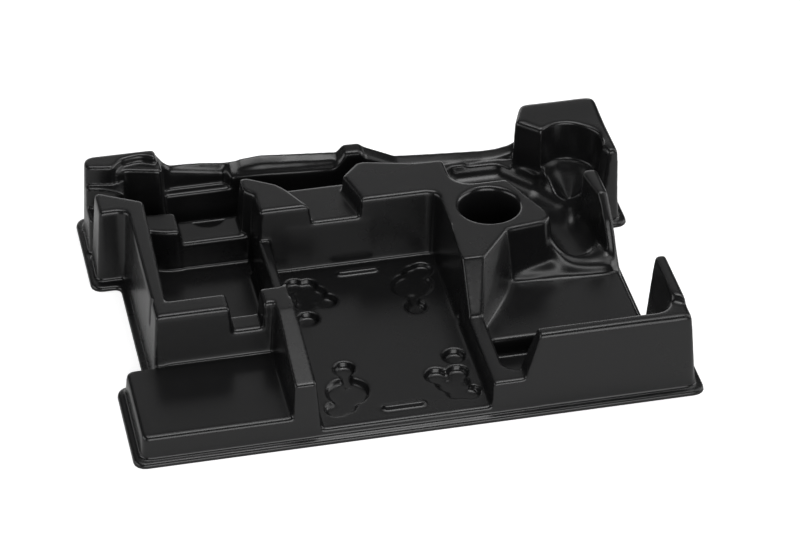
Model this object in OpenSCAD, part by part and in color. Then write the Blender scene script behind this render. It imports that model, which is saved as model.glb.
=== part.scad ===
/* [Sheet and footprint] */
// Width of the insert over its flange, left to right
tray_w = 378; // [370:1:390]
// Depth of the insert over its flange, front to back
tray_d = 282; // [276:1:292]
// Thickness of the formed sheet
sheet = 1.8; // [1.2:0.1:2.2]
// Height of the flange and of the deepest floors
flange_h = 3; // [2.6:0.1:3.6]
// Width of the flange outside the walls
flange_w = 5; // [3.5:0.5:7]
// Plan radius of the flange corners
flange_r = 8; // [5:1:12]
// Draft of every wall, in degrees
draft = 4.5; // [3.5:0.25:5.5]
// Radius of the rounded top edges
edge_r = 2.6; // [1.5:0.1:3]
// Depth of the relief in the left and right sides of the flange
side_relief = 19.5; // [15:0.5:21]
// Front end of the side reliefs, in a tray of the drawn depth
relief_front = 85; // [82:1:90]
// Back end of the side reliefs, in a tray of the drawn depth
relief_back = 195; // [190:1:197]

/* [Heights] */
// Top of the common land
land_z = 57; // [54:0.5:60]
// Top of the front right wall
front_wall_z = 58; // [55:0.5:60]
// Top of the end tab at the right
tab_z = 62.5; // [60:0.5:66]
// Top of the tower at the back right
tower_z = 58.5; // [56:0.5:64]
// Top of the block at the back left
corner_z = 58.8; // [56:0.2:62]
// Shelf at the front left
shelf_z = 19.3; // [15:0.5:24]
// Floor of the middle bay
bay_z = 8; // [7:0.5:12]
// Saddle between the two halves of the middle land
saddle_z = 43.3; // [38:0.5:48]
// Low notch in the wall behind the shelf
notch_z = 38; // [32:1:44]
// Crest of the divider between the left and middle bays
divider_z = 34; // [28:1:40]
// Left step in the left bay
step_high_z = 33.5; // [28:0.5:38]
// Right step in the left bay
step_low_z = 23; // [18:0.5:26]
// Low crest at the front of the right bay
sill_z = 26; // [20:1:32]
// Raised floor of the right bay
plateau_z = 16; // [12:0.5:20]
// Floor of the trough at the right
trough_z = 11; // [8:0.5:14]

/* [Middle bay] */
// Left foot of the middle bay, in a tray of the drawn width
bay_left = 123.4; // [120:0.2:127]
// Right foot of the middle bay, in a tray of the drawn width
bay_right = 234.1; // [230:0.2:238]
// Back foot of the middle bay, in a tray of the drawn depth
bay_back = 181.2; // [176:0.2:186]
// Depth of the foot recesses in its floor
recess_h = 4.2; // [2:0.2:5]
// Length of the two floor ribs
rib_l = 29; // [20:1:40]
// Width of the two floor ribs
rib_w = 5; // [4:0.5:7]
// Height of the two floor ribs
rib_h = 2.2; // [1:0.2:3]

/* [Round socket] */
// Diameter of the round socket at its mouth
socket_d = 42; // [36:1:46]
// Centre of the socket on the drawn plan, from the left and from the front
socket_at = [269, 161.5];
// Floor of the socket
socket_z = 5; // [4:0.5:20]

/* [Hidden] */
lean = tan(draft);
// The outlines are drawn for a tray of 378 by 282: wall feet at 5, 373 and 277, side reliefs
// at 19.5, 358.5, 85 and 195, middle bay at 123.4, 234.1 and 181.2. Here is where the sizes
// above put these lines, and below them the drawn heights.
wide = tray_w / 378;
deep = tray_d / 282;
across = [[0, 0], [5, flange_w], [19.5, side_relief], [123.4, bay_left * wide],
          [234.1, bay_right * wide], [358.5, tray_w - side_relief], [373, tray_w - flange_w],
          [378, tray_w]];
along = [[0, 0], [5, flange_w], [85, relief_front * deep], [181.2, bay_back * deep],
         [195, relief_back * deep], [277, tray_d - flange_w], [282, tray_d]];
up = [[0, 0], [3, flange_h], [57, land_z], [62.5, tab_z]];
black = [0.13, 0.13, 0.135];
scoop_at = [339.5, 222];
side_x = 4.2;
side_draft = 2.8;
lip_z = 25;
// Step between neighbouring walls, so that no two of them share a plane
tuck = 0.2;
big = 500;

// A drawn place, a drawn outline with radii and a drawn height, as built
function at(q) = [lookup(q[0], across), lookup(q[1], along)];
function fit(p) = [for (q = p) [lookup(q[0], across), lookup(q[1], along), q[2]]];
function tall(z) = lookup(z, up);

// Sharp corners of an outline, moved out by d along both of their sides
function edge_n(a, b) = let (v = b - a) [v[1], -v[0]] / norm(v);
function xy(p) = [p[0], p[1]];
function moved(p, i, d) =
    let (n = len(p), a = xy(p[(i + n - 1) % n]), b = xy(p[i]), c = xy(p[(i + 1) % n]))
    let (n1 = edge_n(a, b), n2 = edge_n(b, c))
    b + d * (n1 + n2) / (1 + n1 * n2);

// Segments for a corner of radius r: tight ones take fewer, wide ones more
function seg(r, k) = r < 3.5 ? max(1, k - 1) : r > 10 ? k + 3 : k;

// One rounded outline: corner i keeps its own radius p[i][2], eased by the offset d
function ring(p, d, k) =
    let (q = len(p), s = [for (i = [0:q - 1]) moved(p, i, d)])
    [for (i = [0:q - 1])
        let (a = s[(i + q - 1) % q], b = s[i], c = s[(i + 1) % q])
        let (u = (a - b) / norm(a - b), w = (c - b) / norm(c - b))
        let (turn = u[0] * w[1] - u[1] * w[0] < 0 ? 1 : -1)
        let (half = acos(max(-1, min(1, u * w))) / 2)
        let (room = 0.48 * min(norm(a - b), norm(c - b)) * tan(half))
        let (full = min(room, max(0.4, p[i][2] + turn * d)))
        let (n = seg(p[i][2], k))
        let (r = turn < 0 && n == 1 ? full / (1 + sin(half)) : full)
        let (m = (u + w) / norm(u + w), o = b + m * r / sin(half))
        let (a0 = atan2((b + u * r / tan(half) - o)[1], (b + u * r / tan(half) - o)[0]))
        let (sweep = turn * (180 - 2 * half))
        for (j = [0:n]) o + r * [cos(a0 + sweep * j / n), sin(a0 + sweep * j / n)]];

// Solid between stacked rings of a drawn outline, each given as [height, offset]
module stack(drawn, levels, k) {
    p = fit(drawn);
    m = len(ring(p, 0, k));
    pts = [for (l = levels) for (q = ring(p, l[1], k)) [q[0], q[1], l[0]]];
    top = (len(levels) - 1) * m;
    polyhedron(pts, concat(
        [[for (i = [0:m - 1]) i]],
        [[for (i = [m - 1:-1:0]) top + i]],
        [for (l = [0:len(levels) - 2]) for (i = [0:m - 1])
            let (a = l * m + i, b = l * m + (i + 1) % m)
            each [[a, a + m, b], [b, a + m, b + m]]]));
}

// Inset of a wall at height h, in a skin that lies g under the outer face
function off(h, g, l = lean) = -g - (h - flange_h) * l;

// How far a wall has leaned in at height h
function drawn_in(h) = (h - flange_h) * lean;

// A raised block: outline p at the foot, top at z, walls leaning in by l, top edge of radius r
module land(p, z, g, r = edge_r, l = lean) {
    h = z - g;
    re = max(r - g, 0.5);
    foot = g > 0 ? -1 : 0;
    turns = g > 0 ? (re > 3 ? [0, 45, 90] : [0, 90]) : (re > 5 ? [0, 22.5, 45, 67.5, 90] : [0, 45, 90]);
    stack(p, concat([[foot, off(foot, g, l)]],
        [for (t = turns) [h - re + re * sin(t), off(h, g, l) - re * (1 - cos(t))]]),
        g > 0 ? 1 : 3);
}

// A round recess, rounded at its floor
module bowl(c, r, z, to, round = 1.6) {
    n = r < 9 ? 12 : 20;
    translate([c[0], c[1], z]) hull() {
        cylinder(r1 = r - round, r2 = r, h = round, $fn = n);
        translate([0, 0, round]) cylinder(r1 = r, r2 = r + (to - z) * lean, h = to - z, $fn = n);
    }
}

// The skin's bulge below a group of round recesses, g under them
module bulge(group, z, g, to) {
    hull() for (q = group) translate([q[0], q[1], z - g])
        cylinder(r1 = q[2] + g + 0.3, r2 = q[2] + g + 0.6, h = to - z + g, $fn = 10);
}

// Keeps what lies under a line of built [y, z] points that runs from the front to the back
module under(line, g) {
    intersection() {
        children();
        rotate([90, 0, 90]) linear_extrude(big) offset(delta = -g)
            polygon(concat([[line[0][0], -20]], line, [[big, last(line)[1]], [big, -20]]));
    }
}
function last(v) = v[len(v) - 1];

// Skin through equal rings of 3-D points
module skin(rings) {
    m = len(rings[0]);
    pts = [for (q = rings) each q];
    last = (len(rings) - 1) * m;
    polyhedron(pts, concat(
        [[for (i = [0:m - 1]) i]],
        [[for (i = [m - 1:-1:0]) last + i]],
        [for (l = [0:len(rings) - 2]) for (i = [0:m - 1])
            let (a = l * m + i, b = l * m + (i + 1) % m)
            each [[a, a + m, b], [b, a + m, b + m]]]));
}

flange_plan = [
    [0, 0, flange_r], [378, 0, flange_r], [378, 85, flange_r], [358.5, 85, 4],
    [358.5, 195, 4], [378, 195, flange_r], [378, 282, flange_r], [0, 282, flange_r],
    [0, 195, flange_r], [19.5, 195, 4], [19.5, 85, 4], [0, 85, flange_r]];

module flange(g) {
    h = flange_h - g;
    stack(flange_plan, g > 0 ? [[-1, -g], [h, -g]] : [[0, 0], [h - 1.2, 0], [h, -1.2]],
        g > 0 ? 1 : 4);
}

// Shelf at the front left, running under the walls behind and beside it
module shelf(g) {
    land([[5, 5, 6], [117, 5, 2], [117, 92, 2], [35, 92, 2],
          [35, 81.3, 2], [5, 81.3, 6]], shelf_z, g);
}

// Floor of the middle bay
module bay_floor(g) {
    land([[109, 5, 1], [242, 5, 1], [242, 190, 1], [109, 190, 1]], bay_z, g, 2);
}

// Wall between the shelf and the middle bay, its top sloping down to the front
module sloped_ridge(g) {
    under([[-32, tall(35.5)], [8.2, tall(43.6)], [lookup(75, along), land_z]], g)
        land([[102.7, 5 + tuck, 3], [123.4, 5 + tuck, 3], [123.4, 91, 1],
              [102.7, 91, 3]], land_z + 1, g, 1.2);
}

// Wall behind the shelf, notched beside the ridge
wall_front = 78.7;
wall_back = 105.2;
side_foot = 19.5 + 4.5;
module shelf_wall(g) {
    land([[side_foot, wall_front, 4], [81.7, wall_front, 4], [81.7, wall_back, 4],
          [side_foot, wall_back, 4]], land_z - 0.5, g);
    land([[70, wall_front, 2], [110, wall_front, 2], [110, 102.7, 2], [70, 102.7, 2]],
        notch_z, g);
    land([[95.3, wall_front, 4], [123.4 - tuck, wall_front, 3], [123.4 - tuck, 108.2, 3],
          [114.5, 108.2, 3], [112, wall_back, 3], [95.3, wall_back, 4]], land_z, g);
}

// Long wall at the left with the box at its back end
module side_wall(g) {
    land([[side_foot, 90, 3], [42.4, 90, 3], [45.2, 219.4, 5], [5, 242.7, 7],
          [5, 203.5, 4], [side_foot, 203.5, 2]], land_z - 0.5, g);
}

// Block at the back left corner with its steps and the notch before it
module corner_block(g) {
    l = tan(side_draft);
    x1 = side_x + tuck;
    x2 = side_x + 2 * tuck;
    land([[20, 264, 2], [27.5, 254.2, 3], [35, 258, 3], [59, 251.8, 5], [62.5, 256, 4],
          [62.5, 277 - 2 * tuck, 4], [20, 277 - 2 * tuck, 2]], corner_z - 6, g, 2, l);
    land([[x2, 258.2, 4], [26.5, 253.8, 4], [34.5, 263, 4], [46, 265.5, 8], [57.5, 259.5, 6],
          [60, 264, 3], [60, 277 - tuck, 4], [x2, 277, 9]], corner_z, g, 2.2, l);
    land([[x1, 253, 3], [16, 250, 3], [33, 240, 3], [37, 268, 3], [x1, 268, 2]], tall(45), g,
        1.8, l);
    land([[side_x, 238, 2], [46, 214, 2], [48, 226, 3], [20, 266, 2], [side_x, 266, 1]],
        tall(30), g, 2, l);
}

// Crest of the back wall: [x, inner foot, outer height, inner height]
back_rows = [
    [50, 262, 57.5, 57], [57, 262, 56.5, 56], [63, 265, 48, 47], [67, 266, 45, 43],
    [88, 266, 44, 39.5], [104, 266, 42, 37], [109, 259, 41.8, 36.5], [133, 259, 41.8, 36],
    [155, 259, 39.6, 34.5], [181, 259, 37.2, 33], [185, 259, 39, 36], [190, 259, 44.7, 43.5],
    [201, 259, 44.3, 43], [205, 260, 41, 38], [227, 261, 29.5, 27], [253, 262, 27.3, 25],
    [290, 262, 24.5, 22.5], [301, 262, 24.8, 23], [310, 262, 26.5, 25], [322, 262, 33, 32]];

module back_wall(g) {
    re = max(2 - g, 0.5);
    foot = g > 0 ? -1 : 0;
    skin([for (q = back_rows)
        let (x = lookup(q[0], across), yi = lookup(q[1], along) + g)
        let (yo = lookup(277, along) - g)
        let (zi = tall(q[3]) - g, zo = g > 0 ? zi + 0.4 * (q[2] - q[3]) : tall(q[2]))
        let (ti = yi + drawn_in(zi - re), to = yo - drawn_in(zo - re))
        [[x, yi + drawn_in(foot), foot], [x, yo - drawn_in(foot), foot], [x, to, zo - re],
         [x, to - re, zo], [x, ti + re, zi], [x, ti, zi - re]]]);
    land([[52, 259, 2], [112, 259, 2], [112, 272, 2], [52, 272, 2]], tall(27), g, 1.5);
}

// Two steps in the left bay, the right one with a finger notch
notch_at = [87, 235.5];
module bay_steps(g) {
    land([[36, 213, 2], [46, 208.2, 8], [55, 205.4, 8], [66.4, 204.6, 4], [66.4, 233.5, 4],
          [36, 236, 2]], step_high_z, g, 2);
    difference() {
        land([[60, 205.6, 2], [112, 205.6, 2], [112, 234.5, 2], [60, 234.5, 2]],
            step_low_z, g, 2);
        if (g > 0) bulge([[at(notch_at)[0], at(notch_at)[1], 10.4]], 6, g, step_low_z + 1);
        else bowl(at(notch_at), 10.2, 6, step_low_z + 1);
    }
}

// Low wall between the left bay and the middle bay
module divider(g) {
    land([[111, 97, 2], [123.4, 97, 1], [123.4, 186, 2], [111, 186, 2]], divider_z, g, 2);
}

// Left half of the middle land, and the saddle beside it
module middle_land(g) {
    land([[111.1, 181.2 + tuck, 3], [157.5, 181.2 + tuck, 3], [142.5, 211.5, 8], [136, 220.5, 8],
          [115.5, 233.5, 4], [104.8, 233.5, 4], [104.8, 211.8, 2], [111.1, 205.5, 2]], land_z, g);
    land([[130, 181.2, 2], [196, 181.2, 2], [196, 231.2, 2], [130, 231.2, 2]],
        saddle_z, g);
}

// Main land with the mouth of the socket and the nose at the front
module main_land(g) {
    land([[180.9, 181.2 + tuck, 4], [234.1, 181.2 + tuck, 3], [234.1, 104, 1],
          [258, 104, 1], [275.5, 126.4, 2], [304, 130, 5], [310.9, 138.5, 5], [310.9, 147, 5],
          [291, 194.4, 5], [255.4, 194.9, 16],
          [254.8, 226.4, 4], [230, 227.6, 20], [196, 236.3, 4], [188.5, 234.8, 4],
          [174, 218.5, 4], [180.9, 190, 6]], land_z, g);
}

module nose(g) {
    e = 0.9 * g;
    n = g > 0 ? 12 : 16;
    hull() {
        for (q = [[239.3, 106], [251, 106], [271, 131]])
            translate([at(q)[0], at(q)[1] + e, land_z - g - 1])
                cylinder(r1 = max(2.4 - e, 0.3), r2 = max(1.6 - e, 0.2), h = 1, $fn = n);
        for (q = [[239, 82.5], [244.5, 82.5], [272.5, 126]])
            translate([at(q)[0], at(q)[1] + e, sill_z - g])
                cylinder(r = max(2.6 - e, 0.3), h = 0.1, $fn = n);
        for (q = [[237, 78], [247.5, 78], [274, 124]])
            translate([at(q)[0], at(q)[1] + e, -0.5])
                cylinder(r = max(2.8 - e, 0.3), h = 0.1, $fn = n);
        translate([at([238.5, 0])[0] + g, at([0, 140])[1], -0.5]) cube([30, 5, land_z - g + 0.5]);
    }
}

// Low sill that carries on from the nose, and the front wall with its end tab
function arm_x(y) = 354.5 + (y - 24.3) * 0.027;
module right_front(g) {
    land([[234.1, 5 + tuck, 2], [268, 5 + tuck, 2], [268, 21.8, 2],
          [254, 21.8, 6], [248.3, 27, 6], [248.3, 100, 2], [234.1, 100, 2]], sill_z, g, 2);
    front = 5 + 2 * tuck;
    difference() {
        land([[240, front, 2], [373, front, 6], [373, 79.5, 6],
              [arm_x(79.5), 79.5, 5], [arm_x(24.3), 24.3, 9], [240, 24.3, 2]], front_wall_z, g);
        translate([at([248.5, 0])[0] - g, -1, -2]) rotate([0, 17.5, 0])
            translate([-40, 0, 0]) cube([40 + 2.2 * g, 60, 90]);
    }
    land([[arm_x(27) + tuck, 27, 4], [373 - tuck, 15.5, 4],
          [373 - tuck, 79.5 - tuck, 6], [arm_x(79.5) + tuck, 79.5 - tuck, 5]], tab_z, g);
}

module plateau(g) {
    land([[240, 64, 1.5], [353, 64, 3], [353, 150, 3], [240, 150, 2]], plateau_z, g, 2);
}

// Ground under the trough with its rounded lip, and the wall along its right side
module trough_body(g) {
    land([[274, 124.6, 2], [351, 121, 4], [351, 262, 4], [314, 262, 2], [296, 236, 4],
          [274, 214, 2]], tall(lip_z), g, 9);
    land([[270, 190, 2], [330, 190, 2], [330, 266, 2], [270, 266, 2]], tall(21), g,
        1.5);
    land([[245, 190, 2], [278, 190, 2], [278, 266, 2], [245, 266, 2]], tall(22.6), g,
        1.5);
}

// Lip round the front of the trough, rising at its left end: [x, front foot, height]
rim_rows = [[303, 131, 43], [306.5, 130.3, 42], [309, 128.5, 37.5], [312, 126, 33], [316, 124, 29.5],
            [322, 122.8, 26.8], [330, 122.1, 25.4], [343, 121.4, 24.6], [350, 122.5, 14]];
module trough_rim(g) {
    re = max(8 - g, 1);
    turns = g > 0 ? [90, 45, 0] : [90, 56, 28, 0];
    foot = g > 0 ? -1 : 0;
    n = len(rim_rows) - 1;
    skin([for (i = [0:n])
        let (q = rim_rows[i], x = at(q)[0] + (i == 0 ? g : i == n ? -g : 0))
        let (z = tall(q[2]) - g, y = at(q)[1] + g, back = lookup(145, along) - g)
        let (in = drawn_in(z - re))
        concat([[x, y, foot], [x, back, foot], [x, back, z]],
            [for (t = turns) [x, y + in + re * (1 - cos(t)), z - re + re * sin(t)]])]);
}

// Wall at the right of the trough: [y, foot of its inner side, height, slope of its top]
crest_rows = [[121, 344, 10, 55], [124, 343.8, 14, 55], [145, 342, 44.5, 49],
              [159.5, 339.3, 57.7, 30], [163, 338.9, 57.7, 0], [175, 338, 57.7, 0],
              [187, 336.4, 57.5, 0], [189.8, 337.2, 55.4, 40], [191.8, 341, 34, 60],
              [206, 341.5, 32, 0]];
module right_crest(g) {
    re = max(1.8 - g, 0.4);
    foot = g > 0 ? -1 : 0;
    xo = lookup(358.5, across) - 5 - g;
    skin([for (q = crest_rows)
        let (y = lookup(q[0], along) + (q[0] < 122 ? g : q[0] > 186 && q[0] < 200 ? -g : 0))
        let (z = tall(q[2]) - g / cos(q[3]), xi = lookup(q[1], across) + g)
        let (in = drawn_in(z - re), out = in / 2)
        [[xo - drawn_in(foot) / 2, y, foot], [xi + drawn_in(foot), y, foot], [xi + in, y, z - re],
         [xi + in + re, y, z], [xo - out - re, y, z], [xo - out, y, z - re]]]);
}

module tower(g) {
    land([[306, 251, 4], [320.5, 236, 2], [338, 215, 2], [355.5, 212, 2], [358.6, 200, 2],
          [373, 200, 4], [373, 277, 9], [315, 277, 8]], tower_z, g, 3.2);
    land([[342, 196.6, 2], [353.2, 196.6, 2], [361, 200.4, 2], [361, 216, 2], [342, 216, 2]],
        tall(31), g, 1.5);
}

// Scoop in the tower over a conical floor
module scoop(g) {
    translate(at(scoop_at)) hull() {
        translate([1.5, -4, 10.5 - g]) cylinder(r = 0.6, h = 0.1, $fn = 12);
        translate([0, 0, 30 - g])
            cylinder(r1 = 20.6 + g, r2 = 22.8 + g, h = 32 + g, $fn = g > 0 ? 16 : 32);
    }
}

// Round-bottomed troughs in front of the tower and beside it
module troughs(g) {
    round_trough([[326, 152.5, 18], [321.7, 187, 17]], trough_z, g);
    round_trough([[322.2, 184, 16.7], [326, 203, 17]], trough_z + 0.3, g);
    round_trough([[326, 203, 15], [315, 222, 15]], trough_z + 0.6, g);
    round_trough([[268, 249, 12], [294, 249, 12], [314, 224, 12], [312, 214, 12], [268, 219, 12]],
        trough_z + 1.5, g);
}

// Space swept by a ball over the drawn points [x, y, radius], open upwards
module round_trough(pts, floor, g) {
    n = g > 0 ? 12 : 20;
    hull() for (q = pts) translate([at(q)[0], at(q)[1], floor + q[2]]) {
        rotate_extrude($fn = n) intersection() {
            circle(r = q[2] + g, $fn = n);
            translate([0, -big]) square([big, big]);
        }
        cylinder(r1 = q[2] + g, r2 = q[2] + g + 2.3, h = 45, $fn = n);
    }
}

module socket(g) {
    r = socket_d / 2;
    n = g > 0 ? 20 : 40;
    translate(at(socket_at)) rotate_extrude($fn = n)
        polygon([[0, socket_z - g], [r - 6, socket_z - g], [r - 4 + g, socket_z + 2.5 - g],
                 [r - 0.5 + g, land_z - 2], [r + 1.2 + g, land_z - 0.2], [r + 2 + g, land_z + 5],
                 [0, land_z + 5]]);
}

// Recesses for feet in the bay floor, the back pair being the front pair turned round
bay_mid = [179.5, 95];
big_foot = [[-33, -53, 14], [-43, -69, 8], [-38, -66.5, 8.5]];
small_foot = [[-30.5, -28.5, 7]];
neck = [[-31, -30, 3.1], [-31, -43.5, 3.1]];
clover = [[43.5, -30, 7.4], [27.5, -48, 7.5], [41.5, -48, 7.5], [34, -58, 8.5], [45, -69.5, 7],
          [36.5, -68, 6.5], [39.5, -59, 8]];
function placed(group, s) = [for (q = group) concat(at(bay_mid + s * xy(q)), q[2])];
module foot_recesses(g) {
    z = bay_z - recess_h;
    to = bay_z + 1;
    for (s = [1, -1]) {
        if (g > 0) {
            bulge(placed(big_foot, s), z + 0.9, g, to);
            for (group = [concat(small_foot, neck), clover]) bulge(placed(group, s), z, g, to);
        } else {
            for (q = placed(big_foot, s)) bowl(q, q[2], z + 0.9, to);
            for (q = placed(concat(small_foot, clover), s)) bowl(q, q[2], z, to);
            hull() for (q = placed(neck, s)) translate([q[0], q[1], z + 0.1])
                cylinder(r1 = q[2], r2 = q[2] + 0.5, h = 6, $fn = 12);
        }
    }
}

module ribs() {
    for (s = [-1, 1]) translate(concat(at(bay_mid + [0, s * 75.5]), bay_z))
        hull() for (x = [-1, 1]) translate([x * (rib_l - rib_w) / 2, 0, -1])
            cylinder(d1 = rib_w + 0.6, d2 = rib_w - 1.2, h = rib_h + 1, $fn = 12);
}

// The whole outer form for g = 0, and the hollow below the sheet for g = sheet
module form(g) {
    difference() {
        union() {
            flange(g);
            shelf(g);
            bay_floor(g);
            sloped_ridge(g);
            shelf_wall(g);
            side_wall(g);
            corner_block(g);
            back_wall(g);
            bay_steps(g);
            divider(g);
            middle_land(g);
            nose(g);
            right_front(g);
            plateau(g);
            difference() {
                union() {
                    main_land(g);
                    trough_body(g);
                    trough_rim(g);
                    right_crest(g);
                }
                troughs(g);
            }
            tower(g);
            if (g == 0) ribs();
        }
        socket(g);
        scoop(g);
        foot_recesses(g);
    }
}

module insert_tray() {
    color(black) translate([-tray_w / 2, -tray_d / 2, 0]) difference() {
        form(0);
        form(sheet);
    }
}

insert_tray();
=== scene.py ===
import math

import bmesh
import bpy
import numpy as np
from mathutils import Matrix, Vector


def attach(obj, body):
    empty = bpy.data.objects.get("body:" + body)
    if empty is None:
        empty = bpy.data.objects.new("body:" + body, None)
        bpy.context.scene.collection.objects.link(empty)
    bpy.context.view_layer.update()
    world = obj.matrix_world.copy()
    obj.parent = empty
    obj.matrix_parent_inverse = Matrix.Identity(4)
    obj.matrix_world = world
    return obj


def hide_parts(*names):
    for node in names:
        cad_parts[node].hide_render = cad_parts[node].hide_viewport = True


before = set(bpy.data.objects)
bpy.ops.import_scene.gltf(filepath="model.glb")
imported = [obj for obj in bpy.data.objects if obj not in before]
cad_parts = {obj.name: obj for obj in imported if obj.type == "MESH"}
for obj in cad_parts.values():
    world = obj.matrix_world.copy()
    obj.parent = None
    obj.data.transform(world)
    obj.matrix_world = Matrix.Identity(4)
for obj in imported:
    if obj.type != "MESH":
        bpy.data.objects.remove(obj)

NODE = "insert_tray"
MM = 0.001

# Camera, as solved from the photograph: metres and degrees in the shared frame
CAMERA_AT = (-0.38480, -1.85143, 1.40077)
CAMERA_YAW = 12.15
CAMERA_PITCH = 35.9
SENSOR_WIDTH = 36.0
LENS = 156.15
CLIP_START = 0.05
CLIP_END = 50

# Formed sheet
VOXEL = 0.85 * MM
SKIRT = 8 * MM
RING_TOP = 0.01 * MM
SAME_PLACE = 1e-7
RELAX_STEPS = 10
RELAX_FACTOR = 0.5
MOST_TRIANGLES = 180000

# The tray's front left corner, from which the tables below measure, in millimetres
CORNER = (-189.0, -141.0, 0.0)

# Extra softening: middle, reach and steps
SOFT_SPOTS = (
    ((266, 103, 18), (16, 26, 16), 120),
    ((352, 200, 30), (14, 24, 30), 30),
    ((341, 230, 26), (14, 12, 7), 10),
    ((327, 192, 12), (16, 12, 10), 200),
    ((314, 130, 24), (20, 12, 16), 80),
    ((340, 132, 26), (14, 10, 12), 60),
    ((326, 7, 56), (46, 5, 6), 50),
    ((368, 240, 60), (6, 34, 8), 40),
    ((340, 274, 60), (30, 6, 8), 30),
    ((354, 22, 60), (10, 12, 8), 40),
)
SPOT_PULL = 0.5
LEAST_PULL = 0.005

# Relief of the mould. A pair says where a soft edge starts and where it is complete.
WALL_STEP = {"left": (113, 118), "right": (180, 186), "above": (29, 35), "behind": (255, 258),
             "riser": (264.2, 266.6), "rise": 1.2, "growth": 1.1, "grows": (116, 132)}
TOWER = {"left": (298, 304), "front": (198, 206), "top": (44, 57), "lift": 1.2, "growth": 1.8,
         "grows": (236, 276), "height": (5, 62), "right_side": (352, 366), "right_shift": 2.6,
         "left_side": (308, 326), "left_shift": 2.4}
SLOT = {"middle": 104, "reach": 1.7, "inner": (33, 36), "bottom": (34, 38), "top": (54, 57),
        "front": (99, 101), "depth": 2.0}
LEDGE = {"centre": (339.5, 222), "below": (31, 34), "above": (14, 20), "behind": (216, 224),
         "inside": (21, 23), "radius": 18.2, "reach": 2.4, "height": 1.4}

# Plastic
SHEET_BLACK = (0.007, 0.007, 0.0073, 1)
SHEET_IOR = 1.5
ROUGHNESS = (0.22, 0.29)
CLOUD_RANGE = (0.3, 0.7)
CLOUDS = {"Scale": 14.0, "Detail": 4.0, "Roughness": 0.6}
RIPPLE = {"Scale": 60.0, "Detail": 2.0, "Roughness": 0.5}
GRAIN = {"Scale": 1500.0, "Detail": 2.0, "Roughness": 0.5}
RIPPLE_BUMP = {"Strength": 0.3, "Distance": 0.2 * MM}
GRAIN_BUMP = {"Strength": 0.25, "Distance": 0.04 * MM}

# Studio
WHITE = (1, 1, 1, 1)
FLOOR_WHITE = 0.75
FLOOR_GLOW = 0.65
FLOOR_HALF = 4.0
FLOOR_GAP = 0.3 * MM
WORLD_LIGHT = 0.03
LOOKED_AT = Vector((0, 0, 0.03))

# Soft boxes that look at the tray: degrees round it from its front, degrees above the floor,
# distance and size in metres, and brightness
SOFT_BOXES = {
    "box_top": (180, 86, 1.5, (1.0, 0.5), 4.3),
    "box_top_right": (110, 75, 1.5, (0.6, 0.5), 1.6),
    "box_top_back": (180, 68, 1.5, (1.2, 0.4), 1.2),
    "box_front": (0, 30, 1.5, (1.2, 0.3), 3.6),
    "box_front_low": (0, 16, 1.5, (1.4, 0.4), 3.4),
    "box_right": (90, 50, 1.5, (1.2, 0.6), 1.5),
    "box_right_low": (90, 18, 1.5, (1.4, 0.6), 2.6),
    "box_left_low": (-90, 18, 1.5, (1.4, 0.6), 2.2),
    "box_back": (172, 36, 1.8, (1.6, 0.6), 0.34),
    "box_back_low": (180, 12, 1.8, (1.8, 0.5), 1.7),
}


def new_object(name, data):
    """A new object with this data, linked to the scene."""
    obj = bpy.data.objects.new(name, data)
    bpy.context.scene.collection.objects.link(obj)
    return obj


def mesh_object(name, bm):
    """A new object with the mesh that bm holds, and bm freed."""
    mesh = bpy.data.meshes.new(name)
    bm.to_mesh(mesh)
    bm.free()
    return new_object(name, mesh)


def make_camera():
    """Camera at the photographer's place."""
    data = bpy.data.cameras.new("photo_camera")
    data.sensor_width = SENSOR_WIDTH
    data.lens = LENS
    data.clip_start = CLIP_START
    data.clip_end = CLIP_END
    camera = new_object("photo_camera", data)
    camera.location = CAMERA_AT
    camera.rotation_euler = (math.radians(90 - CAMERA_PITCH), 0, math.radians(-CAMERA_YAW))
    bpy.context.scene.camera = camera


def apply_modifier(obj, kind, **settings):
    """Adds one modifier, sets it and applies it to the object's mesh."""
    modifier = obj.modifiers.new(kind.lower(), kind)
    for key, value in settings.items():
        setattr(modifier, key, value)
    bpy.context.view_layer.objects.active = obj
    with bpy.context.temp_override(object=obj, active_object=obj, selected_objects=[obj]):
        bpy.ops.object.modifier_apply(modifier=modifier.name)


def upper_faces(bm):
    """Faces of the upper skin: all that the highest one reaches without the ring at z = 0."""
    ring = {f for f in bm.faces if max(v.co.z for v in f.verts) < RING_TOP}
    highest = max(bm.faces, key=lambda f: f.calc_center_median().z)
    found = {highest}
    waiting = [highest]
    while waiting:
        for edge in waiting.pop().edges:
            for other in edge.link_faces:
                if other not in found and other not in ring:
                    found.add(other)
                    waiting.append(other)
    return found


def skin_of(cad, upper):
    """The tray's upper skin alone, or its lower skin with the ring that it stands on."""
    bm = bmesh.new()
    bm.from_mesh(cad.data)
    bmesh.ops.remove_doubles(bm, verts=bm.verts, dist=SAME_PLACE)
    top = upper_faces(bm)
    drop = [f for f in bm.faces if (f in top) != upper]
    bmesh.ops.delete(bm, geom=drop, context="FACES")
    return bm


def closed_below(bm, depth):
    """Extends the open rim of a skin straight down and caps it."""
    rim = [e for e in bm.edges if e.is_boundary]
    made = bmesh.ops.extrude_edge_only(bm, edges=rim)["geom"]
    lowered = [v for v in made if isinstance(v, bmesh.types.BMVert)]
    bmesh.ops.translate(bm, verts=lowered, vec=(0, 0, -depth))
    bmesh.ops.holes_fill(bm, edges=[e for e in bm.edges if e.is_boundary], sides=0)
    bmesh.ops.recalc_face_normals(bm, faces=bm.faces)


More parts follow.
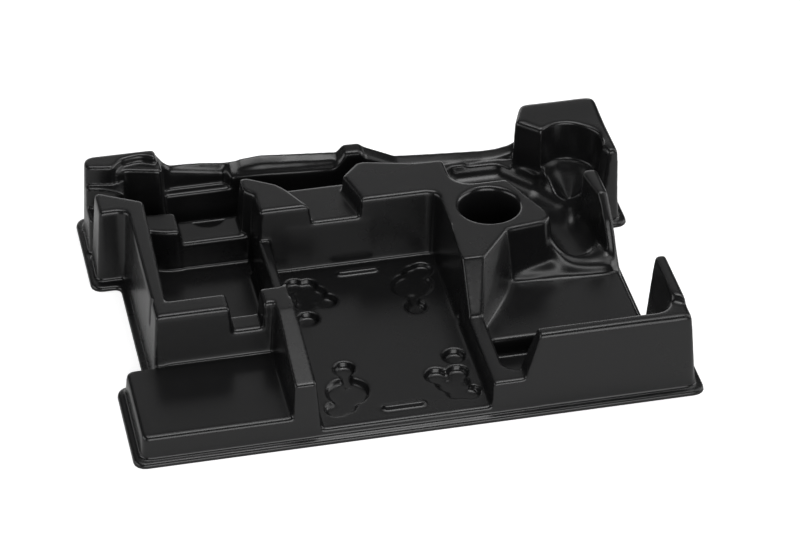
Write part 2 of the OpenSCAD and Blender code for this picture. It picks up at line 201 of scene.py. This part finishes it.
def cut_at_floor(mesh):
    """Removes what lies below the plane that the tray stands on."""
    bm = bmesh.new()
    bm.from_mesh(mesh)
    bmesh.ops.bisect_plane(bm, geom=bm.verts[:] + bm.edges[:] + bm.faces[:], dist=SAME_PLACE,
                           plane_co=(0, 0, 0), plane_no=(0, 0, 1), clear_inner=True)
    bm.to_mesh(mesh)
    bm.free()


def step(value, start, end):
    """0 before start, 1 after end and a smooth rise between them."""
    part = np.clip((value - start) / (end - start), 0, 1)
    return part * part * (3 - 2 * part)


def fall(value, start, end):
    """1 before start, 0 after end and a smooth fall between them."""
    return 1 - step(value, start, end)


def hump(value, middle, reach):
    """1 at the middle, and soon 0 beyond the reach."""
    return np.exp(-((value - middle) / reach) ** 2)


def add_wall_step(co):
    """Step along the slope behind the channel, with the crest a little higher behind it."""
    x, y, z = co.T
    s = WALL_STEP
    wall = step(x, *s["left"]) * fall(x, *s["right"]) * step(z, *s["above"]) * step(y, *s["behind"])
    rise = s["rise"] + s["growth"] * step(x, *s["grows"])
    co[:, 2] += wall * rise * step(y, *s["riser"])


def shape_tower(co):
    """Tower's top a little higher, more so at its back, and its side walls steeper."""
    x, y, z = co.T
    s = TOWER
    tower = step(x, *s["left"]) * step(y, *s["front"])
    lift = tower * step(z, *s["top"]) * (s["lift"] + s["growth"] * step(y, *s["grows"]))
    outward = s["right_shift"] * step(x, *s["right_side"]) - s["left_shift"] * fall(x, *s["left_side"])
    co[:, 0] += tower * step(z, *s["height"]) * outward
    co[:, 2] += lift


def add_slot(co):
    """Narrow slot down the front end of the wall behind the shelf, on its outer side."""
    x, y, z = co.T
    s = SLOT
    slot = hump(y, s["middle"], s["reach"]) * fall(x, *s["inner"])
    slot = slot * step(z, *s["bottom"]) * fall(z, *s["top"])
    co[:, 0] += s["depth"] * slot * step(y, *s["front"])


def add_ledge(co):
    """Rounded ledge where the scoop's wall meets its cone."""
    x, y, z = co.T
    s = LEDGE
    r = np.hypot(x - s["centre"][0], y - s["centre"][1])
    ledge = fall(z, *s["below"]) * step(z, *s["above"]) * step(y, *s["behind"]) * fall(r, *s["inside"])
    co[:, 2] += s["height"] * ledge * hump(r, s["radius"], s["reach"])


def soften(co, edges):
    """Rounds the soft spots further: each point moves towards the mean of its neighbours."""
    for middle, reach, steps in SOFT_SPOTS:
        pull = SPOT_PULL * np.exp(-(((co - middle) / reach) ** 2).sum(1))
        moves = pull > LEAST_PULL
        near = edges[moves[edges].any(1)]
        points, near = np.unique(near, return_inverse=True)
        first, second = near.reshape(-1, 2).T
        part, count = co[points], len(points)
        links = np.bincount(near.ravel(), minlength=count)[:, None]
        share = np.where(moves[points], pull[points], 0)[:, None]
        for _ in range(steps):
            total = np.stack([np.bincount(first, part[second, k], count)
                              + np.bincount(second, part[first, k], count) for k in range(3)], 1)
            part += share * (total / links - part)
        co[points] = part


def shape_sheet(mesh):
    """Applies the relief and the soft spots to the mesh."""
    co = np.empty(len(mesh.vertices) * 3)
    mesh.vertices.foreach_get("co", co)
    edges = np.empty(len(mesh.edges) * 2, dtype=np.int32)
    mesh.edges.foreach_get("vertices", edges)
    co = co.reshape(-1, 3) / MM - CORNER
    for shaper in (add_wall_step, shape_tower, add_slot, add_ledge):
        shaper(co)
    soften(co, edges.reshape(-1, 2))
    mesh.vertices.foreach_set("co", ((co + CORNER) * MM).ravel())
    mesh.update()


def formed_sheet(cad):
    """The tray with the soft, even radii of a heated sheet drawn over a mould."""
    bm = skin_of(cad, upper=True)
    closed_below(bm, SKIRT)
    sheet = mesh_object("insert_tray_formed", bm)
    apply_modifier(sheet, "REMESH", mode="VOXEL", voxel_size=VOXEL, use_smooth_shade=True)
    apply_modifier(sheet, "SMOOTH", factor=RELAX_FACTOR, iterations=RELAX_STEPS)
    shape_sheet(sheet.data)
    apply_modifier(sheet, "SMOOTH", factor=RELAX_FACTOR, iterations=RELAX_STEPS)
    cut_at_floor(sheet.data)
    fine = new_object("fine_normals", sheet.data.copy())
    share = MOST_TRIANGLES / sum(len(p.vertices) - 2 for p in sheet.data.polygons)
    apply_modifier(sheet, "DECIMATE", ratio=share)
    apply_modifier(sheet, "DATA_TRANSFER", object=fine, use_loop_data=True,
                   data_types_loops={"CUSTOM_NORMAL"}, loop_mapping="POLYINTERP_NEAREST")
    bpy.data.objects.remove(fine)
    return sheet


def underside(cad):
    """The tray's lower skin and the ring that it stands on, straight from the frame."""
    return mesh_object("insert_tray_underside", skin_of(cad, upper=False))


def node_of(tree, kind, **inputs):
    """Adds a shader node and sets its inputs by name."""
    node = tree.nodes.new(kind)
    for key, value in inputs.items():
        node.inputs[key.replace("_", " ")].default_value = value
    return node


def plastic_material():
    """Satin black thermoformed sheet with fine grain and slightly uneven gloss."""
    material = bpy.data.materials.new("formed_black_sheet")
    material.use_nodes = True
    tree = material.node_tree
    link = tree.links.new
    shader = tree.nodes["Principled BSDF"]
    shader.inputs["IOR"].default_value = SHEET_IOR
    shader.inputs["Base Color"].default_value = SHEET_BLACK
    place = tree.nodes.new("ShaderNodeTexCoord").outputs["Object"]

    clouds = node_of(tree, "ShaderNodeTexNoise", **CLOUDS)
    link(place, clouds.inputs["Vector"])
    gloss = node_of(tree, "ShaderNodeMapRange", From_Min=CLOUD_RANGE[0], From_Max=CLOUD_RANGE[1],
                    To_Min=ROUGHNESS[0], To_Max=ROUGHNESS[1])
    link(clouds.outputs["Fac"], gloss.inputs["Value"])
    link(gloss.outputs["Result"], shader.inputs["Roughness"])

    ripple = node_of(tree, "ShaderNodeTexNoise", **RIPPLE)
    link(place, ripple.inputs["Vector"])
    ripple_bump = node_of(tree, "ShaderNodeBump", **RIPPLE_BUMP)
    link(ripple.outputs["Fac"], ripple_bump.inputs["Height"])
    grain = node_of(tree, "ShaderNodeTexNoise", **GRAIN)
    link(place, grain.inputs["Vector"])
    grain_bump = node_of(tree, "ShaderNodeBump", **GRAIN_BUMP)
    link(grain.outputs["Fac"], grain_bump.inputs["Height"])
    link(ripple_bump.outputs["Normal"], grain_bump.inputs["Normal"])
    link(grain_bump.outputs["Normal"], shader.inputs["Normal"])
    return material


def floor_material():
    """White floor: it takes the tray's shadow, and a little glow for the camera keeps it white."""
    material = bpy.data.materials.new("studio_floor")
    material.use_nodes = True
    tree = material.node_tree
    tree.nodes.clear()
    link = tree.links.new
    matt = node_of(tree, "ShaderNodeBsdfDiffuse", Color=(FLOOR_WHITE, FLOOR_WHITE, FLOOR_WHITE, 1))
    path = tree.nodes.new("ShaderNodeLightPath")
    glow = node_of(tree, "ShaderNodeEmission", Color=WHITE)
    amount = tree.nodes.new("ShaderNodeMath")
    amount.operation = "MULTIPLY"
    amount.inputs[1].default_value = FLOOR_GLOW
    link(path.outputs["Is Camera Ray"], amount.inputs[0])
    link(amount.outputs[0], glow.inputs["Strength"])
    both = tree.nodes.new("ShaderNodeAddShader")
    link(matt.outputs[0], both.inputs[0])
    link(glow.outputs[0], both.inputs[1])
    out = tree.nodes.new("ShaderNodeOutputMaterial")
    link(both.outputs[0], out.inputs["Surface"])
    return material


def make_floor():
    """Square floor just under the tray, as stage and not as part."""
    mesh = bpy.data.meshes.new("studio_floor")
    h = FLOOR_HALF
    mesh.from_pydata([(-h, -h, 0), (h, -h, 0), (h, h, 0), (-h, h, 0)], [], [(0, 1, 2, 3)])
    floor = new_object("studio_floor", mesh)
    floor.location.z = -FLOOR_GAP
    mesh.materials.append(floor_material())


def make_world():
    """Faint white surroundings for the light, full white for the camera."""
    world = bpy.data.worlds.new("studio")
    bpy.context.scene.world = world
    world.use_nodes = True
    tree = world.node_tree
    tree.nodes.clear()
    link = tree.links.new
    faint = node_of(tree, "ShaderNodeBackground", Color=WHITE, Strength=WORLD_LIGHT)
    white = node_of(tree, "ShaderNodeBackground", Color=WHITE, Strength=1.0)
    path = tree.nodes.new("ShaderNodeLightPath")
    mix = tree.nodes.new("ShaderNodeMixShader")
    link(path.outputs["Is Camera Ray"], mix.inputs[0])
    link(faint.outputs[0], mix.inputs[1])
    link(white.outputs[0], mix.inputs[2])
    out = tree.nodes.new("ShaderNodeOutputWorld")
    link(mix.outputs[0], out.inputs["Surface"])


def soft_box(name, bearing, rise, distance, size, brightness):
    """Rectangular soft box that looks at the middle of the tray, unseen by the camera."""
    data = bpy.data.lights.new(name, "AREA")
    data.shape = "RECTANGLE"
    data.size, data.size_y = size
    data.energy = math.pi * size[0] * size[1] * brightness
    light = new_object(name, data)
    turn, lift = math.radians(bearing), math.radians(rise)
    towards = Vector((math.sin(turn) * math.cos(lift), -math.cos(turn) * math.cos(lift), math.sin(lift)))
    light.location = towards * distance
    light.rotation_euler = (LOOKED_AT - light.location).to_track_quat("-Z", "Y").to_euler()
    light.visible_camera = False


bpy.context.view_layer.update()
bpy.context.scene.view_settings.view_transform = "Standard"
make_camera()
cad_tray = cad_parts[NODE]
tray = formed_sheet(cad_tray)
below = underside(cad_tray)
plastic = plastic_material()
for piece in (tray, below):
    piece.data.materials.clear()
    piece.data.materials.append(plastic)
    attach(piece, "root")
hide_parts(NODE)
make_floor()
make_world()
for box_name, place in SOFT_BOXES.items():
    soft_box(box_name, *place)
